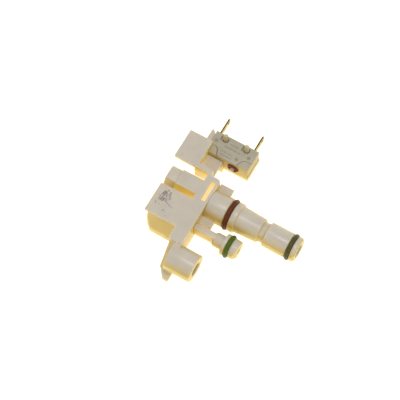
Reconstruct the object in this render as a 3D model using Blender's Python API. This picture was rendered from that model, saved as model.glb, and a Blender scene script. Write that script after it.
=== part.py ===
"""Water diverter valve: moulded body with two spigots, a pressure housing and a sub-miniature switch.

The tube axis is X (chamber cap at X = 0, nose toward +X), the switch side is +Y and +Z is up.
"""
import math

import bmesh
import bpy

for item in list(bpy.data.objects):
    bpy.data.objects.remove(item, do_unlink=True)

MM = 0.001
GAP = 0.25 * MM               # clearance kept between neighbouring pieces
ROUND = 40                    # facets of a large turned piece
SMALL_ROUND = 20              # facets of a small turned piece

# ---- driving dimensions -------------------------------------------------------------
BODY_HALF_DEPTH = 6.0 * MM    # half the depth of the block, up and down from the tube axis
BLOCK_LENGTH = 5.8 * MM       # flange block along X
BLOCK_TOP = 8.4 * MM          # its edge on the switch side
BLOCK_BOTTOM = 22.2 * MM      # its edge on the boss side, measured from the axis
CLIP_SLOT_WIDTH = 1.7 * MM    # open slot for the retaining clip
CLIP_SLOT_TOP = 6.3 * MM
CLIP_SLOT_END = 3.4 * MM
CLIP_LIP = 1.2 * MM           # wall between the slot and the front of the block

CHAMBER_LENGTH = 9.1 * MM     # rear chamber with one sloping side
CHAMBER_TOP = 5.9 * MM        # its edge on the switch side
CHAMBER_SLOPE = 4.4 * MM      # how far its other side leans out on the way down
CHAMBER_BORE = 3.0 * MM
CAP_LENGTH = 4.4 * MM         # cap closing the chamber at the back
CAP_INSET = 0.45 * MM         # how much smaller the cap is all round
PLUG_DEPTH = 2.0 * MM         # the cap's plug inside the bore

TUBE_RADIUS = 6.1 * MM        # large spigot
TUBE_BORE = 3.6 * MM
TUBE_STEM = 9.0 * MM          # from the block to the main O-ring
SHOULDER_LENGTH = 3.6 * MM    # full-size length in front of the main O-ring
CONE_LENGTH = 10.2 * MM       # slightly tapered length after the shoulder
CONE_ROOT = 5.45 * MM
CONE_TIP = 4.95 * MM
WAIST_RADIUS = 4.1 * MM       # narrow windowed neck
WAIST_LENGTH = 1.7 * MM
NOZZLE_RADIUS = 5.1 * MM
NOZZLE_LENGTH = 10.3 * MM
NOSE_CAP = 2.1 * MM           # bevelled end in front of the nose O-ring
NOSE_BORE = 2.7 * MM
MAIN_RING_SECTION = 1.0 * MM  # section radius of each O-ring
NOSE_RING_SECTION = 0.9 * MM
PILOT_RING_SECTION = 0.85 * MM

PILOT_OFFSET = 11.9 * MM      # pilot spigot axis from the tube axis
PILOT_BAR_WIDTH = 2.6 * MM    # flat duct that joins the pilot spigot to the block
PILOT_BAR_DEPTH = 6.0 * MM
PILOT_DUCT = 0.7 * MM         # bore radius in the duct
PILOT_NOTCH = 1.6 * MM        # step across the end of the cap
PILOT_BAR_LENGTH = 8.9 * MM
PILOT_COLLAR_RADIUS = 2.9 * MM
PILOT_COLLAR_LENGTH = 3.8 * MM
PILOT_FLANGE_RADIUS = 4.4 * MM
PILOT_FLANGE_LENGTH = 1.5 * MM
PILOT_CAP_RADIUS = 4.0 * MM
PILOT_CAP_LENGTH = 2.9 * MM
PILOT_BORE = 1.3 * MM

HOUSING_LENGTH = 12.2 * MM    # pressure housing behind the block
HOUSING_BOTTOM = 20.0 * MM
HOUSING_TOP = 6.9 * MM
HOUSING_CORNER = 2.4 * MM     # cut corner at the back of the housing
HOUSING_BORE = 3.6 * MM
LID_HEIGHT = 12.9 * MM        # plain plate on top of the housing
LID_TOP = 3.9 * MM
LID_THICKNESS = 1.1 * MM
LID_OVERHANG = 1.6 * MM       # how far the plate reaches behind the housing

BOSS_OFFSET = 26.6 * MM       # locating boss axis from the tube axis
BOSS_RADIUS = 5.7 * MM
BOSS_LENGTH = 8.8 * MM        # in front of the block
BOSS_BORE = 3.0 * MM
BOSS_BORE_DEPTH = 9.0 * MM
BOSS_WALL_THICKNESS = 2.5 * MM   # gusset wall behind the boss
FOOT_THICKNESS = 1.4 * MM     # foot plate below the boss
FOOT_REACH = 2.4 * MM
FOOT_LENGTH = 5.7 * MM

PLATE_OVERHANG = 1.5 * MM     # how far the square rear plate reaches behind the cap
PLATE_WIDTH = 10.1 * MM       # square rear plate
PLATE_HEIGHT = 12.9 * MM
PLATE_THICKNESS = 1.3 * MM
NECK_HEIGHT = 2.0 * MM        # beam that ties the plate to the block
NECK_REACH = 1.2 * MM         # how far the beam runs over the block
WEB_THICKNESS = 1.2 * MM      # thin plate on the mould's middle plane
WING_LENGTH = 5.2 * MM        # wings beside the tube
WING_REACH = 9.4 * MM

SWITCH_LENGTH = 19.0 * MM     # sub-miniature switch
SWITCH_HEIGHT = 9.5 * MM
SWITCH_THICKNESS = 6.4 * MM
SWITCH_LEFT = 7.1 * MM        # its rear end from the face of the chamber cap
SWITCH_STAND = 18.1 * MM      # its lower face above the tube axis
COVER_THICKNESS = 1.6 * MM
HOLE_SPACING = 9.5 * MM
HOLE_INSET = 4.9 * MM         # first hole from the switch's rear end
HOLE_DROP = 1.8 * MM          # holes below the switch's upper face
HOLE_RELIEF = 1.0 * MM        # how far each hole is drawn out toward the rear
PEG_RADIUS = 1.05 * MM
PEG_PROUD = 4.0 * MM          # peg length above the cover
PLUNGER_RADIUS = 0.9 * MM
PLUNGER_INSET = 12.7 * MM     # plunger from the switch's rear end
PLUNGER_PROUD = 1.6 * MM
PLUNGER_TRAVEL = 0.6 * MM
CONTACT_REACH = 2.8 * MM      # contacts beyond the plunger
SEAL_RADIUS = 2.5 * MM
TERMINAL_LENGTH = 7.9 * MM
TERMINAL_WIDTH = 3.2 * MM
TERMINAL_THICKNESS = 0.6 * MM
HOOK_WIDTH = 1.75 * MM
RIB_THICKNESS = 1.6 * MM      # upright rib below the web's far edge

SPOOL_TRAVEL = 2.5 * MM
STEM_RADIUS = 1.2 * MM
PISTON_THICKNESS = 2.2 * MM
POPPET_TRAVEL = 1.5 * MM
PRESSURE_TRAVEL = 3.0 * MM
WIRE_RADIUS = 0.3 * MM


# ---- materials ----------------------------------------------------------------------
def make_material(name, colour, roughness, metallic=0.0):
    """One Principled material per kind of stuff; colour is linear RGB."""
    material = bpy.data.materials.new(name)
    material.use_nodes = True
    shader = material.node_tree.nodes["Principled BSDF"]
    shader.inputs["Base Color"].default_value = (*colour, 1.0)
    shader.inputs["Roughness"].default_value = roughness
    shader.inputs["Metallic"].default_value = metallic
    return material


NYLON = ("nylon", (0.60, 0.53, 0.36), 0.45)
LID_NYLON = ("lid_nylon", (0.56, 0.51, 0.40), 0.5)
SWITCH_BASE_PLASTIC = ("switch_base_plastic", (0.55, 0.46, 0.22), 0.4)
SWITCH_COVER_PLASTIC = ("switch_cover_plastic", (0.46, 0.43, 0.31), 0.45)
BROWN_RUBBER = ("brown_rubber", (0.10, 0.012, 0.004), 0.5)
DARK_RUBBER = ("dark_green_rubber", (0.05, 0.07, 0.035), 0.45)
GREEN_RUBBER = ("green_rubber", (0.03, 0.10, 0.008), 0.4)
BLACK_RUBBER = ("black_rubber", (0.02, 0.02, 0.02), 0.6)
BRASS = ("brass", (0.52, 0.34, 0.08), 0.3, 1.0)
SILVER = ("silver", (0.75, 0.74, 0.70), 0.25, 1.0)
COPPER = ("beryllium_copper", (0.62, 0.33, 0.14), 0.3, 1.0)
STEEL = ("spring_steel", (0.55, 0.55, 0.55), 0.3, 1.0)
ACETAL = ("white_acetal", (0.75, 0.74, 0.70), 0.4)


# ---- shape helpers ------------------------------------------------------------------
def finish(name, mesh_data, stuff, at, smooth=True):
    """Turn a bmesh into a named object with its own material, its origin at the given point."""
    bmesh.ops.remove_doubles(mesh_data, verts=mesh_data.verts, dist=1e-7)
    bmesh.ops.recalc_face_normals(mesh_data, faces=mesh_data.faces)
    mesh = bpy.data.meshes.new(name)
    mesh_data.to_mesh(mesh)
    mesh_data.free()
    if smooth:
        mesh.shade_smooth()
        mesh.set_sharp_from_angle(angle=math.radians(35))
    piece = bpy.data.objects.new(name, mesh)
    piece.location = at
    bpy.context.scene.collection.objects.link(piece)
    if stuff is None:
        piece.hide_render = True
        piece.display_type = "WIRE"
    else:
        label, *look = stuff
        mesh.materials.append(make_material(f"{name}_{label}", *look))
    return piece


def turned(name, profile, stuff, at, steps=ROUND, axis="X"):
    """Revolve (station, radius) points about an axis; an end at radius 0 closes the piece."""
    shape = bmesh.new()
    verts = [shape.verts.new((x, r, 0.0)) for x, r in profile]
    edges = [shape.edges.new(pair) for pair in zip(verts, verts[1:])]
    if profile[0][1] > 0.0 or profile[-1][1] > 0.0:
        edges.append(shape.edges.new((verts[-1], verts[0])))
    bmesh.ops.spin(shape, geom=verts + edges, cent=(0, 0, 0), axis=(1, 0, 0),
                   angle=2 * math.pi, steps=steps, use_duplicate=False)
    if axis != "X":
        swap = {"Y": lambda p: (p.z, p.x, p.y), "Z": lambda p: (p.y, p.z, p.x)}[axis]
        for vert in shape.verts:
            vert.co = swap(vert.co)
    return finish(name, shape, stuff, at)


def rod(name, start, end, radius, stuff, at, steps=SMALL_ROUND, axis="X"):
    """Plain cylinder between two stations on its axis."""
    profile = [(start, 0.0), (start, radius), (end, radius), (end, 0.0)]
    return turned(name, profile, stuff, at, steps, axis)


def o_ring(name, section, radius, stuff, at, steps=36):
    """Round-section ring about X; radius is the ring's outer radius."""
    centre = radius - section
    turns = 10
    points = []
    for i in range(turns):
        angle = 2 * math.pi * i / turns
        points.append((section * math.cos(angle), centre + section * math.sin(angle)))
    return turned(name, points, stuff, at, steps)


def box(name, low, high, stuff, bevel=0.0):
    """Box between two corners, its long edges rounded by a bevel."""
    shape = bmesh.new()
    bmesh.ops.create_cube(shape, size=1.0)
    centre = [(a + b) / 2 for a, b in zip(low, high)]
    for vert in shape.verts:
        vert.co = [v * (b - a) for v, a, b in zip(vert.co, low, high)]
    if bevel:
        bmesh.ops.bevel(shape, geom=shape.edges[:], offset=bevel, segments=2,
                        profile=0.5, affect="EDGES", clamp_overlap=True)
    return finish(name, shape, stuff, centre)


def prism(name, outline, low, high, stuff, axis="Z"):
    """Extrude a flat outline between two levels of the given axis."""
    place = {"Z": lambda a, b, c: (a, b, c), "X": lambda a, b, c: (c, a, b)}[axis]
    shape = bmesh.new()
    face = shape.faces.new([shape.verts.new(place(a, b, low)) for a, b in outline])
    moved = bmesh.ops.extrude_face_region(shape, geom=[face])["geom"]
    offset = place(0.0, 0.0, high - low)
    bmesh.ops.translate(shape, vec=offset,
                        verts=[v for v in moved if isinstance(v, bmesh.types.BMVert)])
    return finish(name, shape, stuff, (0, 0, 0))


def coil(name, start, end, radius, turns, stuff, at):
    """Compression spring about X: a round wire swept along a helix, with capped ends."""
    sides = 6
    steps = int(turns * 12)
    shape = bmesh.new()
    rings = []
    for i in range(steps + 1):
        angle = 2 * math.pi * turns * i / steps
        x = start + WIRE_RADIUS + (end - start - 2 * WIRE_RADIUS) * i / steps
        ring = []
        for k in range(sides):
            turn = 2 * math.pi * k / sides
            reach = radius + WIRE_RADIUS * math.cos(turn)
            ring.append(shape.verts.new((x + WIRE_RADIUS * math.sin(turn),
                                         reach * math.cos(angle), reach * math.sin(angle))))
        rings.append(ring)
    for near, far in zip(rings, rings[1:]):
        for k in range(sides):
            shape.faces.new((near[k], near[(k + 1) % sides], far[(k + 1) % sides], far[k]))
    shape.faces.new(rings[0])
    shape.faces.new(rings[-1])
    return finish(name, shape, stuff, at)


def boolean(piece, other, operation):
    """Keep an exact Boolean on the piece."""
    modifier = piece.modifiers.new(f"{operation.lower()}_{other.name}", "BOOLEAN")
    modifier.operation = operation
    modifier.solver = "EXACT"
    modifier.object = other


def cut(piece, *cutters):
    for cutter in cutters:
        boolean(piece, cutter, "DIFFERENCE")


def join(piece, *parts):
    for part in parts:
        boolean(piece, part, "UNION")


# ---- stations along the tube axis ---------------------------------------------------
AXIS = (0.0, 0.0, 0.0)
chamber_start = CAP_LENGTH + GAP
chamber_end = chamber_start + CHAMBER_LENGTH
block_rear = chamber_end + GAP
block_front = block_rear + BLOCK_LENGTH
tube_start = block_front + GAP
main_ring_x = tube_start + TUBE_STEM
main_groove = MAIN_RING_SECTION + 0.6 * GAP
shoulder_end = main_ring_x + SHOULDER_LENGTH
cone_end = shoulder_end + CONE_LENGTH
nose_start = cone_end + GAP
nozzle_start = nose_start + WAIST_LENGTH
nozzle_end = nozzle_start + NOZZLE_LENGTH
nose_groove = NOSE_RING_SECTION + 0.6 * GAP
nose_ring_x = nozzle_end + nose_groove
nose_cap_start = nose_ring_x + nose_groove
nose_end = nose_cap_start + NOSE_CAP
depth = BODY_HALF_DEPTH

# ---- flange block -------------------------------------------------------------------
flange_block = box("flange_block", (block_rear, -BLOCK_BOTTOM, -depth),
                   (block_front, BLOCK_TOP, depth), NYLON, bevel=0.3 * MM)
slot_front = block_front - CLIP_LIP
slot_rear = slot_front - CLIP_SLOT_WIDTH
slot_floor = depth - 4.0 * MM
slot_half = CLIP_SLOT_WIDTH / 2
slot_outline = [(slot_rear, CLIP_SLOT_TOP), (slot_rear, slot_half - CLIP_SLOT_END)]
for i in range(1, 8):
    angle = math.pi + math.pi * i / 8
    slot_outline.append((slot_rear + slot_half + slot_half * math.cos(angle),
                         slot_half - CLIP_SLOT_END + slot_half * math.sin(angle)))
slot_outline += [(slot_front, slot_half - CLIP_SLOT_END), (slot_front, CLIP_SLOT_TOP)]
clip_slot = prism("clip_slot_cutter", slot_outline, slot_floor, depth + 1 * MM, None)
stem_hole = rod("stem_hole_cutter", block_rear - 1 * MM, block_front + 1 * MM,
                STEM_RADIUS + GAP, None, AXIS)
pilot_hole = rod("pilot_hole_cutter", block_rear - 1 * MM, block_front + 1 * MM,
                 PILOT_BORE, None, (0, -PILOT_OFFSET, 0))
cut(flange_block, clip_slot, stem_hole, pilot_hole)

# ---- rear chamber with its closing cap ----------------------------------------------
def chamber_outline(inset):
    """Section across the tube axis: flat roof, one upright side and one leaning out downward."""
    roof = depth - inset
    high = CHAMBER_TOP - inset
    shoulder = -1.2 * MM + inset
    low = shoulder - CHAMBER_SLOPE
    return [
        (high, -roof), (high, roof - 0.8 * MM), (high - 0.8 * MM, roof), (shoulder, roof),
        (low, -0.2 * depth), (low, -roof),
    ]


rear_chamber = prism("rear_chamber", chamber_outline(0.0), chamber_start, chamber_end, NYLON,
                     axis="X")
chamber_bore = rod("chamber_bore_cutter", chamber_start - 1 * MM, chamber_end + 1 * MM,
                   CHAMBER_BORE, None, AXIS, ROUND)
cut(rear_chamber, chamber_bore)
plug_ring_section = 0.5 * MM
plug_end = chamber_start + PLUG_DEPTH
plug_ring_x = plug_end - 1.2 * MM
plug_radius = CHAMBER_BORE - GAP
plug_floor = plug_radius - 2 * plug_ring_section
plug_half = plug_ring_section + 0.6 * GAP
chamber_cap = prism("chamber_cap", chamber_outline(CAP_INSET), 0.0, CAP_LENGTH, NYLON, axis="X")
plug = turned("plug_union", [
    (CAP_LENGTH - 1 * MM, 0.0), (CAP_LENGTH - 1 * MM, plug_radius),
    (plug_ring_x - plug_half, plug_radius), (plug_ring_x - plug_half, plug_floor - GAP),
    (plug_ring_x + plug_half, plug_floor - GAP), (plug_ring_x + plug_half, plug_radius),
    (plug_end, plug_radius), (plug_end, 0.0),
], None, AXIS)
join(chamber_cap, plug)
o_ring("plug_oring", plug_ring_section, plug_radius + 0.4 * GAP, BLACK_RUBBER,
       (plug_ring_x, 0, 0))

# ---- large spigot, its wings and the nose -------------------------------------------
ring_outer = TUBE_RADIUS + 0.5 * MM
groove_floor = ring_outer - 2 * MAIN_RING_SECTION - 0.6 * GAP
turned("main_spigot", [
    (tube_start, TUBE_BORE), (tube_start, TUBE_RADIUS),
    (main_ring_x - main_groove, TUBE_RADIUS), (main_ring_x - main_groove, groove_floor),
    (main_ring_x + main_groove, groove_floor), (main_ring_x + main_groove, TUBE_RADIUS),
    (shoulder_end - 0.3 * MM, TUBE_RADIUS), (shoulder_end, TUBE_RADIUS - 0.3 * MM),
    (shoulder_end, CONE_ROOT), (cone_end - 0.7 * MM, CONE_TIP),
    (cone_end - 0.2 * MM, CONE_TIP - 0.2 * MM), (cone_end, CONE_TIP - 0.7 * MM),
    (cone_end, TUBE_BORE),
], NYLON, AXIS)
o_ring("main_oring", MAIN_RING_SECTION, ring_outer, BROWN_RUBBER, (main_ring_x, 0, 0))

wing_root = TUBE_RADIUS + GAP
for side, name in ((1, "wing_upper"), (-1, "wing_lower")):
    y_low, y_high = sorted((side * wing_root, side * WING_REACH))
    box(name, (tube_start, y_low, -WEB_THICKNESS / 2),
        (tube_start + WING_LENGTH, y_high, WEB_THICKNESS / 2), NYLON, bevel=0.15 * MM)

nose_ring_outer = NOZZLE_RADIUS + 0.5 * MM
nose_floor = nose_ring_outer - 2 * NOSE_RING_SECTION - 0.6 * GAP
valve_nose = turned("valve_nose", [
    (nose_start, NOSE_BORE), (nose_start, WAIST_RADIUS), (nozzle_start, WAIST_RADIUS),
    (nozzle_start + 0.7 * MM, NOZZLE_RADIUS), (nozzle_end, NOZZLE_RADIUS),
    (nozzle_end, nose_floor), (nose_cap_start, nose_floor), (nose_cap_start, NOZZLE_RADIUS),
    (nose_cap_start + 0.6 * MM, NOZZLE_RADIUS), (nose_end, NOZZLE_RADIUS - 1.2 * MM),
    (nose_end, NOSE_BORE),
], NYLON, AXIS)
window_half = 0.9 * MM
for name, low, high in (
    ("window_cutter_y", (-2 * WAIST_RADIUS, -window_half), (2 * WAIST_RADIUS, window_half)),
    ("window_cutter_z", (-window_half, -2 * WAIST_RADIUS), (window_half, 2 * WAIST_RADIUS)),
):
    window = box(name, (nose_start + 0.35 * MM, *low), (nozzle_start - 0.1 * MM, *high), None)
    cut(valve_nose, window)
o_ring("nose_oring", NOSE_RING_SECTION, nose_ring_outer, DARK_RUBBER, (nose_ring_x, 0, 0))

# ---- pilot spigot -------------------------------------------------------------------
PILOT = (0.0, -PILOT_OFFSET, 0.0)
bar_end = tube_start + PILOT_BAR_LENGTH
collar_end = bar_end + PILOT_COLLAR_LENGTH
pilot_flange_end = collar_end + PILOT_FLANGE_LENGTH
pilot_groove = PILOT_RING_SECTION + 0.6 * GAP
pilot_ring_x = pilot_flange_end + pilot_groove
pilot_cap_start = pilot_ring_x + pilot_groove
pilot_end = pilot_cap_start + PILOT_CAP_LENGTH
pilot_ring_outer = PILOT_FLANGE_RADIUS + 0.45 * MM
pilot_floor = pilot_ring_outer - 2 * PILOT_RING_SECTION - 0.6 * GAP
pilot_spigot = turned("pilot_spigot", [
    (bar_end - 0.6 * MM, 0.0), (bar_end - 0.6 * MM, 0.8 * PILOT_COLLAR_RADIUS),
    (bar_end, PILOT_COLLAR_RADIUS), (collar_end, PILOT_COLLAR_RADIUS),
    (collar_end, PILOT_FLANGE_RADIUS), (pilot_flange_end, PILOT_FLANGE_RADIUS),
    (pilot_flange_end, pilot_floor), (pilot_cap_start, pilot_floor),
    (pilot_cap_start, PILOT_CAP_RADIUS), (pilot_end - 0.5 * MM, PILOT_CAP_RADIUS),
    (pilot_end, PILOT_CAP_RADIUS - 0.5 * MM), (pilot_end, 0.0),
], NYLON, PILOT)
half_width = PILOT_BAR_WIDTH / 2
half_bar = PILOT_BAR_DEPTH / 2
pilot_bar = box("pilot_bar_union", (tube_start, -PILOT_OFFSET - half_width, -half_bar),
                (bar_end + 1 * MM, -PILOT_OFFSET + half_width, half_bar), None,
                bevel=0.25 * MM)
pilot_duct = rod("pilot_duct_cutter", tube_start - 1 * MM, bar_end + 2 * MM, PILOT_DUCT,
                 None, PILOT)
pilot_bore = rod("pilot_bore_cutter", bar_end + 0.8 * MM, pilot_end + 1 * MM,
                 PILOT_BORE, None, PILOT)
pilot_notch = box("pilot_notch_cutter", (pilot_end - PILOT_NOTCH, -PILOT_OFFSET - 0.8 * MM,
                                         -2 * PILOT_CAP_RADIUS),
                  (pilot_end + 1 * MM, 0.0, 2 * PILOT_CAP_RADIUS), None)
join(pilot_spigot, pilot_bar)
cut(pilot_spigot, pilot_duct, pilot_bore, pilot_notch)
o_ring("pilot_oring", PILOT_RING_SECTION, pilot_ring_outer, GREEN_RUBBER,
       (pilot_ring_x, -PILOT_OFFSET, 0))

# ---- pressure housing and its plain lid ---------------------------------------------
lid_under = depth - LID_THICKNESS
housing_end = block_rear - GAP
housing_start = housing_end - HOUSING_LENGTH
housing_roof = lid_under - GAP
lid_bottom = LID_TOP + LID_HEIGHT
housing_outline = [
    (-HOUSING_TOP, housing_roof), (-lid_bottom, housing_roof),
    (-(lid_bottom + 0.7 * MM), housing_roof - 1.0 * MM), (-HOUSING_BOTTOM, -depth * 0.45),
    (-HOUSING_BOTTOM, -depth * 0.85), (-(HOUSING_BOTTOM - 0.8 * MM), -depth),
    (-HOUSING_TOP, -depth),
]
pressure_housing = prism("pressure_housing", housing_outline, housing_start, housing_end,
                         NYLON, axis="X")
chamber_rear = housing_start + 1.4 * MM
chamber = rod("chamber_cutter", chamber_rear, housing_end + 1 * MM, HOUSING_BORE, None,
              PILOT, ROUND)
corner = HOUSING_CORNER
corner_cutter = prism("housing_corner_cutter", [
    (housing_start - 1 * MM, -HOUSING_BOTTOM - 1 * MM),
    (housing_start + corner, -HOUSING_BOTTOM - 1 * MM),
    (housing_start + corner, -HOUSING_BOTTOM),
    (housing_start + 0.3 * corner, -HOUSING_BOTTOM + 0.3 * corner),
    (housing_start, -HOUSING_BOTTOM + corner),
    (housing_start - 1 * MM, -HOUSING_BOTTOM + corner),
], -2 * depth, 2 * depth, None)
cut(pressure_housing, chamber, corner_cutter)
housing_lid = box("housing_lid", (housing_start - LID_OVERHANG, -lid_bottom, lid_under),
                  (block_rear - GAP, -LID_TOP, depth), LID_NYLON, bevel=0.25 * MM)

# ---- locating boss ------------------------------------------------------------------
BOSS = (0.0, -BOSS_OFFSET, 0.0)
boss_wall_start = block_rear + 0.9 * MM
boss_start = boss_wall_start + BOSS_WALL_THICKNESS + GAP
boss_end = block_front + BOSS_LENGTH
locating_boss = turned("locating_boss", [
    (boss_start, 0.0), (boss_start, BOSS_RADIUS), (boss_end - 0.4 * MM, BOSS_RADIUS),
    (boss_end, BOSS_RADIUS - 0.4 * MM), (boss_end, BOSS_BORE),
    (boss_end - BOSS_BORE_DEPTH, BOSS_BORE), (boss_end - BOSS_BORE_DEPTH, 0.0),
], NYLON, BOSS)
wall_top = -BLOCK_BOTTOM - GAP
foot_top = FOOT_THICKNESS - depth
foot_edge = -(BOSS_OFFSET + BOSS_RADIUS)
boss_wall = prism("boss_wall", [
    (wall_top, depth), (wall_top - 0.3 * MM, depth), (foot_edge + 1.5 * MM, foot_top),
    (foot_edge + 1.5 * MM, -depth), (wall_top, -depth),
], boss_wall_start, boss_start - GAP, NYLON, axis="X")
foot_low = foot_edge - FOOT_REACH
foot_end = boss_wall_start + FOOT_LENGTH
clear_of_boss = -BOSS_OFFSET - math.sqrt(max(BOSS_RADIUS ** 2 - foot_top ** 2, 0.0)) - GAP
foot = prism("foot_union", [
    (boss_wall_start, clear_of_boss), (boss_wall_start, foot_edge + 1.8 * MM),
    (boss_wall_start + 0.6 * FOOT_LENGTH, foot_low), (foot_end, foot_low),
    (foot_end, clear_of_boss),
], -depth, foot_top, None)
join(boss_wall, foot)
block_room = box("block_room_cutter", (block_rear - 1 * MM, wall_top, -2 * depth),
                 (block_front + GAP, 0.0, 2 * depth), None)
saddle = box("saddle_union", (boss_start, -BOSS_OFFSET + 1.3 * MM, 0.0),
             (block_front, wall_top + 1 * MM, 0.96 * BOSS_RADIUS), None)
join(locating_boss, saddle)
cut(locating_boss, block_room)

# ---- rear plate, neck and web -------------------------------------------------------
plate_low = BLOCK_TOP + GAP
plate_start = -PLATE_OVERHANG
plate_end = plate_start + PLATE_WIDTH
rear_plate = box("rear_plate", (plate_start, plate_low, depth - PLATE_THICKNESS),
                 (plate_end, plate_low + PLATE_HEIGHT, depth), NYLON, bevel=0.25 * MM)
web_top = WEB_THICKNESS / 2
plate_wall = box("plate_wall_union", (plate_end - 1.0 * MM, plate_low, -web_top),
                 (plate_end, SWITCH_STAND - GAP, depth - 0.3 * MM), None)
join(rear_plate, plate_wall)
neck_start = plate_end + GAP
neck_end = block_rear + NECK_REACH
box("neck_beam", (neck_start, plate_low, web_top + GAP),
    (neck_end, plate_low + NECK_HEIGHT, depth), NYLON, bevel=0.25 * MM)
web_high = SWITCH_STAND - GAP
box("switch_web", (neck_start, plate_low, -web_top), (neck_end, web_high, web_top), NYLON,
    bevel=0.15 * MM)

# ---- switch -------------------------------------------------------------------------
switch_right = SWITCH_LEFT + SWITCH_LENGTH
switch_top = SWITCH_STAND + SWITCH_HEIGHT
half_switch = SWITCH_THICKNESS / 2
switch_base = box("switch_base", (SWITCH_LEFT, SWITCH_STAND, -half_switch),
                  (switch_right, switch_top, half_switch - 0.1 * MM), SWITCH_BASE_PLASTIC,
                  bevel=0.2 * MM)


def cover_outline(grow):
    """T-shaped outline of the cover, made larger all round by the given clearance."""
    bar = SWITCH_STAND + 0.38 * SWITCH_HEIGHT - grow
    side = 0.21 * SWITCH_LENGTH - grow
    foot = 0.27 * SWITCH_LENGTH - grow
    edge = 1 * MM if grow else -0.1 * MM
    return [
        (SWITCH_LEFT + foot, SWITCH_STAND - edge), (switch_right - foot, SWITCH_STAND - edge),
        (switch_right - side, bar), (switch_right + edge, bar),
        (switch_right + edge, switch_top + edge), (SWITCH_LEFT - edge, switch_top + edge),
        (SWITCH_LEFT - edge, bar), (SWITCH_LEFT + side, bar),
    ]


cover_under = half_switch - COVER_THICKNESS
cover_pocket = prism("cover_pocket_cutter", cover_outline(GAP), cover_under - GAP,
                     half_switch + 1 * MM, None)
switch_cover = prism("switch_cover", cover_outline(0.0), cover_under, half_switch,
                     SWITCH_COVER_PLASTIC)
plunger_x = SWITCH_LEFT + PLUNGER_INSET
cavity_low = SWITCH_STAND + 1.4 * MM
cavity_high = switch_top - HOLE_DROP - PEG_RADIUS - 0.9 * MM
cavity = box("cavity_cutter", (SWITCH_LEFT + 2.6 * MM, cavity_low, -2.0 * MM),
             (switch_right - 2.2 * MM, cavity_high, cover_under - 0.1 * MM), None)
plunger_hole = rod("plunger_hole_cutter", SWITCH_STAND - 1 * MM, cavity_low + 1 * MM,
                   PLUNGER_RADIUS + GAP, None, (plunger_x, 0, 0), axis="Y")
cut(switch_base, cover_pocket, cavity, plunger_hole)

peg_y = switch_top - HOLE_DROP
floor_top = -half_switch - GAP
for number, name in enumerate(("peg_left", "peg_right")):
    peg_x = SWITCH_LEFT + HOLE_INSET + number * HOLE_SPACING
    peg_tip = half_switch + PEG_PROUD
    turned(name, [
        (floor_top + GAP, 0.0), (floor_top + GAP, PEG_RADIUS), (peg_tip - 0.7 * MM, PEG_RADIUS),
        (peg_tip - 0.2 * MM, 0.75 * PEG_RADIUS), (peg_tip, 0.3 * PEG_RADIUS), (peg_tip, 0.0),
    ], NYLON, (peg_x, peg_y, 0), SMALL_ROUND, axis="Z")
    peg_room = rod(f"{name}_room_cutter", -half_switch - 1 * MM, half_switch + 1 * MM,
                   PEG_RADIUS + GAP, None, (peg_x, peg_y, 0), axis="Z")
    relief = rod(f"{name}_relief_cutter", half_switch - 0.9 * MM, half_switch + 1 * MM,
                 PEG_RADIUS + 0.5 * GAP, None, (peg_x - HOLE_RELIEF, peg_y, 0), axis="Z")
    cut(switch_base, peg_room)
    cut(switch_cover, peg_room, relief)

cradle_left = SWITCH_LEFT - GAP - HOOK_WIDTH
cradle_under = -depth
switch_cradle = box("switch_cradle", (cradle_left, SWITCH_STAND, cradle_under),
                    (switch_right + 0.3 * MM, switch_top + 0.4 * MM, floor_top), NYLON)
hook = box("hook_union", (cradle_left, SWITCH_STAND + 0.45 * SWITCH_HEIGHT, cradle_under),
           (SWITCH_LEFT - GAP, switch_top - 0.35 * MM, half_switch), None, bevel=0.3 * MM)
rib_low = web_high - RIB_THICKNESS
rib_end = neck_end + 0.4 * MM
cradle_rib = box("cradle_rib_union", (neck_start, rib_low, cradle_under),
                 (rib_end, SWITCH_STAND + 0.5 * MM, floor_top), None)
cradle_web = box("cradle_web_union", (neck_start, rib_low, cradle_under),
                 (rib_end, web_high, -web_top - GAP), None)
join(switch_cradle, hook, cradle_rib, cradle_web)

turned("plunger_seal", [
    (SWITCH_STAND - 0.9 * MM, PLUNGER_RADIUS + GAP), (SWITCH_STAND - 0.9 * MM, 1.5 * MM),
    (SWITCH_STAND - 0.6 * MM, SEAL_RADIUS - 0.2 * MM), (SWITCH_STAND - GAP, SEAL_RADIUS),
    (SWITCH_STAND - GAP, PLUNGER_RADIUS + GAP),
], BROWN_RUBBER, (plunger_x, 0, 0), SMALL_ROUND, axis="Y")

blade_y = SWITCH_STAND + 0.37 * SWITCH_HEIGHT
blade_thickness = 0.2 * MM
turned("switch_plunger", [
    (-PLUNGER_PROUD, 0.0), (-PLUNGER_PROUD, 0.6 * PLUNGER_RADIUS),
    (0.25 * MM - PLUNGER_PROUD, PLUNGER_RADIUS),
    (blade_y - GAP - SWITCH_STAND, PLUNGER_RADIUS), (blade_y - GAP - SWITCH_STAND, 0.0),
], ACETAL, (plunger_x, SWITCH_STAND, 0), SMALL_ROUND, axis="Y")

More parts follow.
